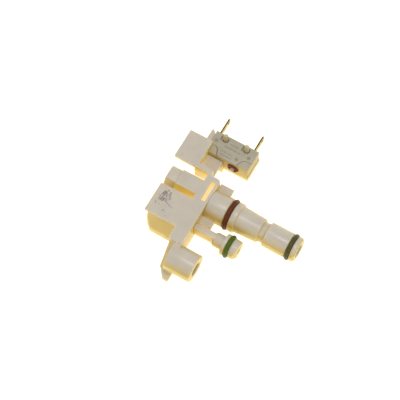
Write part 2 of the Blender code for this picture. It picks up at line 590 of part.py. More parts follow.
blade_pivot = SWITCH_LEFT + 3.4 * MM
contact_x = plunger_x + CONTACT_REACH
blade_tip = contact_x + 0.9 * MM
snap_blade = box("snap_blade", (blade_pivot, blade_y, -1.0 * MM),
                 (blade_tip, blade_y + blade_thickness, 1.0 * MM), COPPER)
hinge = bpy.data.objects.new("blade_hinge", None)
hinge.location = (blade_pivot, blade_y, 0)
bpy.context.scene.collection.objects.link(hinge)
contact_start = blade_y + blade_thickness + 0.6 * GAP
moving_contact = rod("moving_contact", contact_start, contact_start + 0.4 * MM, 0.7 * MM,
                     SILVER, (contact_x, 0, 0), 24, axis="Y")
for piece in (snap_blade, moving_contact):
    rest = piece.location.copy()
    piece.parent = hinge
    piece.location = rest - hinge.location
swing = PLUNGER_TRAVEL * (contact_x - blade_pivot) / (plunger_x - blade_pivot)
fixed_start = contact_start + 0.4 * MM + swing + 0.15 * MM
rod("fixed_contact", fixed_start, fixed_start + 0.4 * MM, 0.7 * MM, SILVER,
    (contact_x, 0, 0), 24, axis="Y")

for name, x in (("terminal_common", SWITCH_LEFT + 1.3 * MM),
                ("terminal_open", switch_right - 2.3 * MM)):
    half = TERMINAL_THICKNESS / 2
    wide = TERMINAL_WIDTH / 2
    tip = switch_top + TERMINAL_LENGTH
    root = switch_top - 1.5 * MM
    blade = box(name, (x - half, root, -wide), (x + half, tip, wide), BRASS, bevel=0.12 * MM)
    eye = rod(f"{name}_eye_cutter", x - 2 * half, x + 2 * half, 0.55 * MM, None,
              (0, tip - 1.6 * MM, 0), 24)
    cut(blade, eye)
    room = box(f"{name}_room_cutter", (x - half - GAP, root - GAP, -wide - GAP),
               (x + half + GAP, tip, wide + GAP), None)
    cut(switch_base, room)
    cut(switch_cover, room)

# ---- diverter spool -----------------------------------------------------------------
piston_x = plug_end + 0.7 * MM
head_x = cone_end - SPOOL_TRAVEL - 4.2 * MM
spool_end = head_x + 2.4 * MM
spool_section = 0.5 * MM
piston_radius = CHAMBER_BORE - GAP
turned("spool_piston", [
    (0.0, STEM_RADIUS + GAP), (0.0, piston_radius),
    (PISTON_THICKNESS / 2 - 0.65 * MM, piston_radius),
    (PISTON_THICKNESS / 2 - 0.65 * MM, piston_radius - 1.1 * MM),
    (PISTON_THICKNESS / 2 + 0.65 * MM, piston_radius - 1.1 * MM),
    (PISTON_THICKNESS / 2 + 0.65 * MM, piston_radius), (PISTON_THICKNESS, piston_radius),
    (PISTON_THICKNESS, STEM_RADIUS + GAP),
], ACETAL, (piston_x, 0, 0))
o_ring("spool_piston_seal", spool_section, piston_radius + 0.4 * GAP, BLACK_RUBBER,
       (piston_x + PISTON_THICKNESS / 2, 0, 0))
rod("spool_stem", 0.0, head_x - GAP - piston_x, STEM_RADIUS, ACETAL, (piston_x, 0, 0))
head_radius = TUBE_BORE - GAP
turned("spool_head", [
    (0.0, 0.0), (0.0, 0.6 * head_radius), (0.5 * MM, head_radius), (1.9 * MM, head_radius),
    (2.4 * MM, 0.6 * head_radius), (2.4 * MM, 0.0),
], ACETAL, (head_x, 0, 0), 32)
coil("spool_spring", piston_x + PISTON_THICKNESS + GAP, chamber_end, 0.68 * CHAMBER_BORE, 4.0,
     STEEL, AXIS)

# ---- pressure piston in the housing -------------------------------------------------
pressure_x = chamber_rear + 0.6 * MM
pressure_radius = HOUSING_BORE - GAP
turned("pressure_piston", [
    (0.0, 0.0), (0.0, pressure_radius), (0.6 * MM, pressure_radius),
    (0.6 * MM, pressure_radius - 1.2 * MM), (1.9 * MM, pressure_radius - 1.2 * MM),
    (1.9 * MM, pressure_radius), (2.5 * MM, pressure_radius), (2.5 * MM, 0.0),
], ACETAL, (pressure_x, -PILOT_OFFSET, 0), 32)
o_ring("pressure_piston_seal", spool_section, pressure_radius + 0.4 * GAP, BLACK_RUBBER,
       (pressure_x + 1.25 * MM, -PILOT_OFFSET, 0), 32)
coil("pressure_spring", pressure_x + 2.5 * MM + GAP, housing_end, 0.65 * HOUSING_BORE, 4.0,
     STEEL, PILOT)

# ---- pilot poppet -------------------------------------------------------------------
poppet_radius = PILOT_BORE - GAP
poppet_x = pilot_end - 5.6 * MM
turned("pilot_poppet", [
    (0.0, 0.0), (0.0, poppet_radius), (1.6 * MM, poppet_radius), (2.4 * MM, 0.5 * poppet_radius),
    (2.4 * MM, 0.0),
], ACETAL, (poppet_x, -PILOT_OFFSET, 0), 24)
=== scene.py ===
"""Looks of a moulded water diverter valve: natural nylon body, rubber rings and a small switch."""

import math

import bmesh
import bpy
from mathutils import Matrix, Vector


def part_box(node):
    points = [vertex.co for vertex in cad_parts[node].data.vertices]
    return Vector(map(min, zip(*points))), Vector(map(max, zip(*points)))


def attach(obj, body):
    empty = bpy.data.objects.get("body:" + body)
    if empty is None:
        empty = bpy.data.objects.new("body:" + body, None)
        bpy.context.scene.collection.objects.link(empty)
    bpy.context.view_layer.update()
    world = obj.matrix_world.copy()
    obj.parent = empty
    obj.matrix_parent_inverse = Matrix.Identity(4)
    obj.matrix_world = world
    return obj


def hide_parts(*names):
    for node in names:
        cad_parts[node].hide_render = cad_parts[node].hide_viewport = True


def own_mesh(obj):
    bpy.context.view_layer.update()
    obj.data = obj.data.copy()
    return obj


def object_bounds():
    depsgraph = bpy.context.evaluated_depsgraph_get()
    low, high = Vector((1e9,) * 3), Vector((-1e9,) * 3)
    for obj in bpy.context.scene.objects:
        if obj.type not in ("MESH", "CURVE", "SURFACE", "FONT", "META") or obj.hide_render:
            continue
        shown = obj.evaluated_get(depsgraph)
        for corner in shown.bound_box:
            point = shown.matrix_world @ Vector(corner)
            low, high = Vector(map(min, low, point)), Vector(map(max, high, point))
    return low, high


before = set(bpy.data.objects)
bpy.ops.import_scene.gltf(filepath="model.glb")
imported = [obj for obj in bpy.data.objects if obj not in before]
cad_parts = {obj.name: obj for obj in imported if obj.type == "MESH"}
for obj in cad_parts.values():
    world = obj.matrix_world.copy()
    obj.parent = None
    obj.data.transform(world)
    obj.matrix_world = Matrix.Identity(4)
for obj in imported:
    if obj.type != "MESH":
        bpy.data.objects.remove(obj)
cad_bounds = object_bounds()

# ---- large spigot --------------------------------------------------------------------
# Moulded in natural glass-filled nylon on one core pin, so it is round, slightly tapered
# and carries a fine parting line along each side. The groove for the main ring is turned
# into the mould.
MM = 0.001


def srgb(code):
    """Linear RGBA from a six-digit sRGB hex code."""
    parts = [int(code[i:i + 2], 16) / 255 for i in (0, 2, 4)]
    return (*[p / 12.92 if p <= 0.04045 else ((p + 0.055) / 1.055) ** 2.4 for p in parts], 1.0)


def add(tree, kind, settings=None, links=None):
    """Add a node, set its fields and inputs, and link its inputs from other nodes' outputs."""
    node = tree.nodes.new(kind)
    for key, value in (settings or {}).items():
        if hasattr(node, key) and key not in node.inputs:
            setattr(node, key, value)
        else:
            node.inputs[key].default_value = value
    for key, source in (links or {}).items():
        tree.links.new(source, node.inputs[key])
    return node


def softened(profile, radius, closed=False, turns=3):
    """Round every corner of a polyline whose neighbouring edges leave room for the radius."""
    points = [Vector(point) for point in profile]
    count = len(points)
    result = []
    for i, corner in enumerate(points):
        if not closed and i in (0, count - 1):
            result.append(corner)
            continue
        before = points[i - 1] - corner
        after = points[(i + 1) % count] - corner
        reach = min(radius, 0.45 * before.length, 0.45 * after.length)
        if reach < 1e-6:
            result.append(corner)
            continue
        start = corner + before.normalized() * reach
        end = corner + after.normalized() * reach
        for k in range(turns + 1):
            t = k / turns
            result.append((1 - t) ** 2 * start + 2 * t * (1 - t) * corner + t ** 2 * end)
    return [tuple(point) for point in result]


def settle(name, shape, at=(0, 0, 0), smooth_below=40):
    """Make a linked object from a bmesh, smooth except across edges sharper than the angle."""
    bmesh.ops.remove_doubles(shape, verts=shape.verts, dist=1e-7)
    bmesh.ops.recalc_face_normals(shape, faces=shape.faces)
    mesh = bpy.data.meshes.new(name)
    shape.to_mesh(mesh)
    shape.free()
    mesh.shade_smooth()
    mesh.set_sharp_from_angle(angle=math.radians(smooth_below))
    piece = bpy.data.objects.new(name, mesh)
    piece.location = at
    bpy.context.scene.collection.objects.link(piece)
    return piece


def turned(name, profile, at, axis="X", steps=96):
    """Revolve (station, radius) points about an axis; ends off the axis are joined."""
    shape = bmesh.new()
    verts = [shape.verts.new((x, r, 0.0)) for x, r in profile]
    edges = [shape.edges.new(pair) for pair in zip(verts, verts[1:])]
    if profile[0][1] > 0.0 or profile[-1][1] > 0.0:
        edges.append(shape.edges.new((verts[-1], verts[0])))
    bmesh.ops.spin(shape, geom=verts + edges, cent=(0, 0, 0), axis=(1, 0, 0),
                   angle=2 * math.pi, steps=steps, use_duplicate=False)
    if axis == "Y":
        for vert in shape.verts:
            vert.co = (vert.co.z, vert.co.x, vert.co.y)
    if axis == "Z":
        for vert in shape.verts:
            vert.co = (vert.co.y, vert.co.z, vert.co.x)
    return settle(name, shape, at)


def slab(name, low, high, round_by=0.25 * MM, segments=3):
    """Box between two corners with rounded edges."""
    shape = bmesh.new()
    bmesh.ops.create_cube(shape, size=1.0)
    for vert in shape.verts:
        vert.co = [(a + b) / 2 + v * (b - a) for v, a, b in zip(vert.co, low, high)]
    if round_by:
        bmesh.ops.bevel(shape, geom=shape.edges[:], offset=round_by, segments=segments,
                        profile=0.5, affect="EDGES", clamp_overlap=True)
    return settle(name, shape)


def plate(name, outline, low, high, axis="Z", round_by=0.15 * MM):
    """Extrude an outline between two levels of an axis and round its rims."""
    place = {"Z": lambda a, b, c: (a, b, c), "X": lambda a, b, c: (c, a, b),
             "Y": lambda a, b, c: (a, c, b)}[axis]
    shape = bmesh.new()
    face = shape.faces.new([shape.verts.new(place(a, b, low)) for a, b in outline])
    moved = bmesh.ops.extrude_face_region(shape, geom=[face])["geom"]
    bmesh.ops.translate(shape, vec=place(0.0, 0.0, high - low),
                        verts=[v for v in moved if isinstance(v, bmesh.types.BMVert)])
    bmesh.ops.recalc_face_normals(shape, faces=shape.faces)
    if round_by:
        rims = [e for e in shape.edges if e.calc_face_angle(0) > math.radians(50)]
        bmesh.ops.bevel(shape, geom=rims, offset=round_by, segments=2, profile=0.5,
                        affect="EDGES", clamp_overlap=True)
    return settle(name, shape)


def apply_all(piece, smooth_below):
    """Turn the piece's modifiers into mesh and shade it smooth below the angle."""
    bpy.context.view_layer.update()
    graph = bpy.context.evaluated_depsgraph_get()
    mesh = bpy.data.meshes.new_from_object(piece.evaluated_get(graph))
    piece.modifiers.clear()
    piece.data = mesh
    mesh.shade_smooth()
    mesh.set_sharp_from_angle(angle=math.radians(smooth_below))


def combine(piece, others, operation):
    """Join or carve the piece with others, which are used up."""
    for other in others:
        modifier = piece.modifiers.new(other.name, "BOOLEAN")
        modifier.operation = operation
        modifier.solver = "EXACT"
        modifier.object = other
    apply_all(piece, 40)
    for other in others:
        bpy.data.objects.remove(other, do_unlink=True)


def started(name):
    """New node material: its tree, its shader and its texture coordinates."""
    material = bpy.data.materials.new(name)
    material.use_nodes = True
    tree = material.node_tree
    return material, tree, tree.nodes["Principled BSDF"], add(tree, "ShaderNodeTexCoord")


def painted_light_tones(tree, place, face, wall, scale):
    """Colour of a moulding with painted light: one pair of tones on its level upper faces, as lit
    from above, and another on its upright walls, as lit from the side, each pair drifting in flow
    clouds."""
    # Painted light: the facing mask gives level tops the pale tones and upright walls the deep
    # ones.
    facing = add(tree, "ShaderNodeSeparateXYZ", None, {"Vector": place.outputs["Normal"]})
    upper = add(tree, "ShaderNodeMapRange", {"interpolation_type": "SMOOTHSTEP", "From Min": 0.25,
                                             "From Max": 0.95}, {"Value": facing.outputs["Z"]})
    cloud = add(tree, "ShaderNodeTexNoise", {"Scale": scale, "Detail": 3.0},
                {"Vector": place.outputs["Object"]})
    skin = add(tree, "ShaderNodeMix", {"data_type": "RGBA"})
    tree.links.new(upper.outputs["Result"], skin.inputs[0])
    for socket, pair in ((6, wall), (7, face)):
        shade = add(tree, "ShaderNodeValToRGB", None, {"Fac": cloud.outputs["Fac"]})
        for stop, position, code in zip(shade.color_ramp.elements, (0.3, 0.7), pair):
            stop.position = position
            stop.color = srgb(code)
        tree.links.new(shade.outputs["Color"], skin.inputs[socket])
    return facing, upper, cloud, skin.outputs[2]


# Natural nylon: clouds about 5 mm across where the flow fronts met, a wavy skin of about
# 1 mm and grain of about 0.1 mm. It is milky, so a thick wall glows and a thin rib is pale;
# the pale tops, yellow walls and glowing recesses in its shading are painted light on top of that.
def nylon(name, face, wall, roughness):
    """Natural glass-filled nylon as moulded, with painted light in its colour: upright walls show
    the resin's own yellow deepened as a painted glow, level upper faces a pale grey painted
    reflection, and faces sloping between them a band of painted shade. Flow clouds, short
    fibres near the skin and a milky depth are in both, and deep recesses get a painted glow."""
    material, tree, shader, place = started(name)
    facing, upper, cloud, skin = painted_light_tones(tree, place, face, wall, 180.0)
    # Painted shade: faces sloping between wall and top, such as the tube undersides, are darkened.
    painted_shade_band = add(tree, "ShaderNodeValToRGB", None, {"Fac": facing.outputs["Z"]})
    for stop, position, code in zip(painted_shade_band.color_ramp.elements, (0.24, 0.42),
                                    ("ffffff", "e2ddd2")):
        stop.position = position
        stop.color = srgb(code)
    painted_shade_band.color_ramp.elements.new(0.8).color = srgb("ffffff")
    shaded_tones = add(tree, "ShaderNodeMix", {"data_type": "RGBA", "blend_type": "MULTIPLY"})
    shaded_tones.inputs[0].default_value = 1.0
    tree.links.new(skin, shaded_tones.inputs[6])
    tree.links.new(painted_shade_band.outputs["Color"], shaded_tones.inputs[7])
    tree.links.new(shaded_tones.outputs[2], shader.inputs["Base Color"])
    grain = add(tree, "ShaderNodeTexNoise", {"Scale": 9000.0, "Detail": 4.0},
                {"Vector": place.outputs["Object"]})
    wave = add(tree, "ShaderNodeTexNoise", {"Scale": 900.0, "Detail": 2.0},
               {"Vector": place.outputs["Object"]})
    fine = add(tree, "ShaderNodeBump", {"Strength": 0.08, "Distance": 0.00001},
               {"Height": grain.outputs["Fac"]})
    coarse = add(tree, "ShaderNodeBump", {"Strength": 0.08, "Distance": 0.00003},
                 {"Height": wave.outputs["Fac"], "Normal": fine.outputs["Normal"]})
    tree.links.new(coarse.outputs["Normal"], shader.inputs["Normal"])
    gloss = add(tree, "ShaderNodeMapRange", {"To Min": roughness - 0.03,
                                             "To Max": roughness + 0.05},
                {"Value": wave.outputs["Fac"]})
    tree.links.new(gloss.outputs["Result"], shader.inputs["Roughness"])
    shader.inputs["Subsurface Weight"].default_value = 0.6
    shader.inputs["Subsurface Radius"].default_value = (1.0, 0.85, 0.3)
    depth = add(tree, "ShaderNodeMapRange", {"To Min": 4.0 * MM, "To Max": 1.2 * MM},
                {"Value": upper.outputs["Result"]})
    tree.links.new(depth.outputs["Result"], shader.inputs["Subsurface Scale"])
    # Painted glow: recesses found by occlusion emit warm light, standing in for light through the
    # nylon.
    recess = add(tree, "ShaderNodeAmbientOcclusion", {"samples": 8, "only_local": True,
                                                      "Distance": 5.0 * MM})
    through = add(tree, "ShaderNodeMapRange", {"From Min": 0.6, "From Max": 0.15, "To Max": 0.3},
                  {"Value": recess.outputs["AO"]})
    shader.inputs["Emission Color"].default_value = srgb("fff3b8")
    tree.links.new(through.outputs["Result"], shader.inputs["Emission Strength"])
    shader.inputs["IOR"].default_value = 1.53
    return material


def dress(piece, material, body, slot, *nodes):
    """Give the piece its material and its CAD body, and let it stand for CAD nodes; slot is not
    used.
    """
    piece.data.materials.clear()
    piece.data.materials.append(material)
    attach(piece, body)
    if nodes:
        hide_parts(*nodes)
    return piece


# Painted light: pale grey tones for level tops, deep yellow tones for upright walls.
body_nylon = nylon("natural_nylon_moulding", ("d3cabb", "dbd2c1"), ("e8ca6a", "efd784"), 0.33)


def station(node, side):
    """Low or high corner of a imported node, as a vector."""
    return Vector(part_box(node)[side])


tube_low, tube_high = station("main_spigot", 0), station("main_spigot", 1)
tube_radius = tube_high.z
ring_low, ring_high = station("main_oring", 0), station("main_oring", 1)
ring_x = (ring_low.x + ring_high.x) / 2
ring_section = (ring_high.x - ring_low.x) / 2
groove = ring_section + 0.15 * MM
groove_floor = ring_high.z - 2 * ring_section - 0.1 * MM
shoulder = ring_x + 3.6 * MM
tube_bore = 3.6 * MM
waist_radius = 4.1 * MM
profile = [
    (tube_low.x - 0.25 * MM, tube_bore), (tube_low.x - 0.25 * MM, tube_radius),
    (ring_x - groove, tube_radius), (ring_x - groove, groove_floor),
    (ring_x + groove, groove_floor), (ring_x + groove, tube_radius),
    (shoulder, tube_radius), (shoulder + 0.02 * MM, 5.45 * MM),
    (tube_high.x - 0.1 * MM, 4.92 * MM), (tube_high.x + 0.2 * MM, waist_radius),
    (tube_high.x + 0.2 * MM, tube_bore),
]
spigot = turned("spigot_moulding", softened(profile, 0.3 * MM, closed=True), (0, 0, 0))
for side in (-1, 1):
    for start, end, reach in ((tube_low.x, ring_x - groove - 0.2 * MM, tube_radius),
                              (shoulder + 0.4 * MM, tube_high.x - 1.2 * MM, 5.0 * MM)):
        seam = slab("parting_line", (start, side * reach - 0.06 * MM, -0.07 * MM),
                    (end, side * reach + 0.03 * MM, 0.07 * MM), 0.02 * MM, 1)
        combine(spigot, [seam], "UNION")
dress(spigot, body_nylon, "valve", "nylon_body", "main_spigot")

# ---- main sealing ring ---------------------------------------------------------------
# Brown silicone O-ring, compression moulded: satin skin with a trace of flash on its
# inner and outer lines. It is rolled over the spigot into the groove.


def rubber(name, code, roughness, dust):
    """Moulded elastomer: deep colour, waxy sheen and a little pale dust in its grain."""
    material, tree, shader, place = started(name)
    speck = add(tree, "ShaderNodeTexNoise", {"Scale": 2600.0, "Detail": 3.0},
                {"Vector": place.outputs["Object"]})
    mix = add(tree, "ShaderNodeValToRGB", None, {"Fac": speck.outputs["Fac"]})
    mix.color_ramp.elements[0].position = 0.45
    mix.color_ramp.elements[0].color = srgb(code)
    mix.color_ramp.elements[1].position = 0.85
    mix.color_ramp.elements[1].color = srgb(dust)
    tree.links.new(mix.outputs["Color"], shader.inputs["Base Color"])
    smear = add(tree, "ShaderNodeTexNoise", {"Scale": 500.0, "Detail": 2.0},
                {"Vector": place.outputs["Object"]})
    gloss = add(tree, "ShaderNodeMapRange", {"To Min": roughness - 0.08,
                                             "To Max": roughness + 0.12},
                {"Value": smear.outputs["Fac"]})
    tree.links.new(gloss.outputs["Result"], shader.inputs["Roughness"])
    skin = add(tree, "ShaderNodeBump", {"Strength": 0.2, "Distance": 0.00002},
               {"Height": speck.outputs["Fac"]})
    tree.links.new(skin.outputs["Normal"], shader.inputs["Normal"])
    shader.inputs["IOR"].default_value = 1.41
    shader.inputs["Specular IOR Level"].default_value = 0.4
    return material


def o_ring(name, node, material, slot, flash=0.04 * MM):
    """Round-section ring about X with a fine flash line outside and inside."""
    low, high = station(node, 0), station(node, 1)
    section = (high.x - low.x) / 2
    centre = (low + high) / 2
    mean = (high.z - low.z) / 2 - section
    points = []
    turns = 24
    for i in range(turns):
        angle = 2 * math.pi * i / turns
        reach = section + (flash if i in (turns // 4, 3 * turns // 4) else 0.0)
        reach = min(reach, section) if i == turns // 4 else reach
        points.append((reach * math.cos(angle), mean + reach * math.sin(angle)))
    ring = turned(name, points, centre, steps=128)
    return dress(ring, material, "valve", slot, node)


o_ring("main_ring", "main_oring", rubber("brown_silicone", "622d0a", 0.4, "764018"),
       "rubber_brown")

# ---- nose ----------------------------------------------------------------------------
# Separate nylon moulding, spin-welded into the spigot at the windowed waist. Its open end
# is rounded off to lead the nose ring into the hydraulic block.
nose_low, nose_high = station("valve_nose", 0), station("valve_nose", 1)
nose_ring_low, nose_ring_high = station("nose_oring", 0), station("nose_oring", 1)
nozzle_radius = nose_high.z
waist_end = nose_low.x + 1.7 * MM
nose_bore = 2.7 * MM
seat = 0.12 * MM
nose_floor = nose_ring_high.z - (nose_ring_high.x - nose_ring_low.x) - 0.1 * MM
profile = [
    (nose_low.x - 0.3 * MM, nose_bore), (nose_low.x - 0.3 * MM, waist_radius),
    (waist_end, waist_radius),
    (waist_end + 0.7 * MM, nozzle_radius), (nose_ring_low.x - seat, nozzle_radius),
    (nose_ring_low.x - seat, nose_floor), (nose_ring_high.x + seat, nose_floor),
    (nose_ring_high.x + seat, nozzle_radius), (nose_high.x - 0.8 * MM, nozzle_radius),
    (nose_high.x, nozzle_radius - 0.7 * MM), (nose_high.x, 3.1 * MM),
    (nose_high.x - 0.5 * MM, nose_bore),
]
nose = turned("nose_moulding", softened(profile, 0.25 * MM, closed=True), (0, 0, 0))
reach = 5 * MM
window = slab("window", (nose_low.x + 0.35 * MM, -reach, -0.9 * MM),
              (waist_end - 0.1 * MM, reach, 0.9 * MM), 0)
combine(nose, [window], "DIFFERENCE")
dress(nose, body_nylon, "valve", "nylon_body", "valve_nose")

# ---- nose sealing ring ---------------------------------------------------------------
# Dark green rubber O-ring, moulded like the main one and a little thinner. It snaps into
# the nose's groove and seals the outlet against the bore of the block.
o_ring("nose_ring", "nose_oring", rubber("dark_green_elastomer", "4e4c1e", 0.38, "605e30"),
       "rubber_dark_green")

# ---- pilot spigot --------------------------------------------------------------------
# Flat duct, collar and flange moulded with the body. The cap beyond the ring has a small
# step that keys it in the hydraulic block.
pilot_low, pilot_high = station("pilot_spigot", 0), station("pilot_spigot", 1)
pilot_y = (pilot_low.y + pilot_high.y) / 2
pilot_ring_low, pilot_ring_high = station("pilot_oring", 0), station("pilot_oring", 1)
duct_end = pilot_low.x + 8.9 * MM
pilot_bore = 1.3 * MM
collar_radius = 2.9 * MM
flange_radius = pilot_high.z
pilot_floor = pilot_ring_high.z - (pilot_ring_high.x - pilot_ring_low.x) - 0.1 * MM
collar_end = pilot_ring_low.x - seat - 1.5 * MM
profile = [
    (duct_end - 0.6 * MM, pilot_bore), (duct_end - 0.6 * MM, collar_radius - 0.6 * MM),
    (duct_end, collar_radius), (collar_end, collar_radius),
    (collar_end + 0.05 * MM, flange_radius),
    (pilot_ring_low.x - seat, flange_radius), (pilot_ring_low.x - seat, pilot_floor),
    (pilot_ring_high.x + seat, pilot_floor), (pilot_ring_high.x + seat, 4.0 * MM),
    (pilot_high.x, 3.9 * MM), (pilot_high.x, pilot_bore),
]
pilot = turned("pilot_moulding", softened(profile, 0.22 * MM, closed=True), (0, pilot_y, 0))
duct = slab("duct", (pilot_low.x - 0.25 * MM, pilot_y - 1.3 * MM, -3 * MM),
            (duct_end + 0.5 * MM, pilot_y + 1.3 * MM, 3 * MM), 0.25 * MM)
combine(pilot, [duct], "UNION")
notch = slab("notch", (pilot_high.x - 0.7 * MM, pilot_y - 6 * MM, -6 * MM),
             (pilot_high.x + 1 * MM, pilot_y - 2.2 * MM, 6 * MM), 0.1 * MM)
combine(pilot, [notch], "DIFFERENCE")
dress(pilot, body_nylon, "valve", "nylon_body", "pilot_spigot")

# ---- pilot sealing ring --------------------------------------------------------------
# Bright green rubber O-ring, the smallest of the three. It sits between the pilot's
# flange and cap and seals the sensing passage.
o_ring("pilot_ring", "pilot_oring", rubber("green_elastomer", "4a640e", 0.36, "5e781e"),
       "rubber_green")

# ---- body moulding -------------------------------------------------------------------
# One shot of natural nylon: the deep block that both spigots grow from, the rear chamber,
# the pressure housing under its flat plate, the neck out to the switch cradle and the
# hollow locating boss on its gusset wall. Ribs share one upper level; the web and the
# wings lie on the mould's middle plane.
MIDDLE = 0.6 * MM


def rounded(outline, radius, corners=None):
    """Round the corners of a closed outline, or only the numbered ones."""
    count = len(outline)
    result = []
    for i in range(count):
        if corners is not None and i not in corners:
            result.append(outline[i])
            continue
        trio = [outline[i - 1], outline[i], outline[(i + 1) % count]]
        result += softened(trio, radius, turns=5)[1:-1]
    return result


def rim(piece, width, segments=2):
    """Round every sharp edge a little, as worn mould steel leaves it."""
    modifier = piece.modifiers.new("rim", "BEVEL")
    modifier.width = width
    modifier.segments = segments
    modifier.limit_method = "ANGLE"
    modifier.angle_limit = math.radians(40)
    modifier.use_clamp_overlap = True
    modifier.miter_outer = "MITER_ARC"
    apply_all(piece, 35)


block_low, block_high = station("flange_block", 0), station("flange_block", 1)
roof = block_high.z
body = plate("body_moulding", rounded([
    (block_low.x, block_low.y), (block_high.x, block_low.y), (block_high.x, block_high.y),
    (block_low.x, block_high.y),
], 1.4 * MM, corners=(2,)), -roof, roof, round_by=0)

lid_low, lid_high = station("housing_lid", 0), station("housing_lid", 1)
neck_low, neck_high = station("neck_beam", 0), station("neck_beam", 1)
rear_low, rear_high = station("rear_plate", 0), station("rear_plate", 1)
web_high = station("switch_web", 1)
wall_x = neck_low.x - 0.25 * MM
join_gap = 0.4 * MM
joined = [
    plate("lid_plate", rounded([
        (lid_low.x, lid_low.y), (block_low.x + join_gap, lid_low.y),
        (block_low.x + join_gap, lid_high.y), (lid_low.x, lid_high.y),
    ], 0.4 * MM, corners=(0, 3)), lid_low.z, roof, round_by=0),
    plate("rear_square", rounded([
        (rear_low.x, rear_low.y), (wall_x, rear_low.y), (wall_x, rear_high.y),
        (rear_low.x, rear_high.y),
    ], 0.4 * MM), roof - 1.3 * MM, roof, round_by=0),
    plate("rear_wall", [
        (wall_x - 1.0 * MM, rear_low.y), (wall_x, rear_low.y), (wall_x, web_high.y),
        (wall_x - 1.0 * MM, web_high.y),
    ], -MIDDLE, roof - 0.5 * MM, round_by=0),
    plate("neck", [
        (wall_x - 0.5 * MM, neck_low.y), (block_low.x, neck_low.y),
        (block_low.x, block_high.y - 1 * MM), (neck_high.x, block_high.y - 1 * MM),
        (neck_high.x, neck_high.y), (wall_x - 0.5 * MM, neck_high.y),
    ], -MIDDLE + 0.1 * MM, roof, round_by=0),
]
joined.append(plate("web", [
    (wall_x - 0.5 * MM, block_high.y - 0.5 * MM), (web_high.x, block_high.y - 0.5 * MM),
    (web_high.x, web_high.y), (wall_x - 0.5 * MM, web_high.y),
], -MIDDLE, MIDDLE, round_by=0))
for name in ("wing_upper", "wing_lower"):
    low, high = station(name, 0), station(name, 1)
    near = 5.6 * MM
    y_low, y_high = (near, high.y) if name == "wing_upper" else (low.y, -near)
    joined.append(plate(name, [
        (block_high.x - join_gap, y_low), (high.x, y_low), (high.x, y_high),
        (block_high.x - join_gap, y_high),
    ], -MIDDLE, MIDDLE, round_by=0))

chamber_low, chamber_high = station("rear_chamber", 0), station("rear_chamber", 1)
lean = chamber_low.y


def chamber_outline(inset, crown):
    """Section of the rear chamber: flat roof, upright side, and one side that leans out."""
    return [
        (chamber_high.y - inset, -roof + inset), (chamber_high.y - inset, crown - 1.2 * MM),
        (chamber_high.y - inset - 1.2 * MM, crown), (-1.2 * MM + inset, crown),
        (lean + inset, -0.2 * roof), (lean + inset, -roof + inset),
    ]


joined.append(plate("chamber", rounded(chamber_outline(0.0, roof - 0.3 * MM), 0.7 * MM,
                                       corners=(1, 2)),
                    chamber_low.x, block_low.x + join_gap, axis="X", round_by=0))
housing_low, housing_high = station("pressure_housing", 0), station("pressure_housing", 1)
under = lid_low.z + 0.2 * MM
joined.append(plate("housing", rounded([
    (housing_high.y, under), (lid_low.y - 0.2 * MM, under),
    (housing_low.y, -0.45 * roof), (housing_low.y, -0.85 * roof),
    (housing_low.y + 0.8 * MM, -roof), (housing_high.y, -roof),
], 1.2 * MM, corners=(2, 3)), housing_low.x, block_low.x + join_gap, axis="X", round_by=0))
boss_low, boss_high = station("locating_boss", 0), station("locating_boss", 1)
boss_y = -26.6 * MM             # axis of the boss
boss_radius = boss_high.z
wall_low, wall_high = station("boss_wall", 0), station("boss_wall", 1)
joined.append(turned("boss", softened([
    (boss_low.x - 0.6 * MM, 0.0), (boss_low.x - 0.6 * MM, boss_radius),
    (boss_high.x, boss_radius), (boss_high.x, 0.0),
], 0.45 * MM), (0, boss_y, 0)))
foot_top = -roof + 1.4 * MM
edge = boss_y - boss_radius
joined.append(plate("gusset_wall", [
    (block_low.y + join_gap, roof), (wall_high.y, roof),
    (edge + 1.5 * MM, foot_top), (edge + 1.5 * MM, -roof), (block_low.y + join_gap, -roof),
], wall_low.x, boss_low.x, axis="X", round_by=0))
joined.append(plate("foot", [
    (wall_low.x, boss_y - 2.0 * MM), (wall_low.x, edge + 1.8 * MM),
    (wall_low.x + 3.4 * MM, wall_low.y), (wall_high.x, wall_low.y),
    (wall_high.x, boss_y - 2.0 * MM),
], -roof, foot_top, round_by=0))
joined.append(slab("boss_saddle", (boss_low.x - 0.6 * MM, boss_y + 1.3 * MM, 0.0),
                   (block_high.x, block_low.y + join_gap, 0.96 * boss_radius), 0))
combine(body, joined, "UNION")

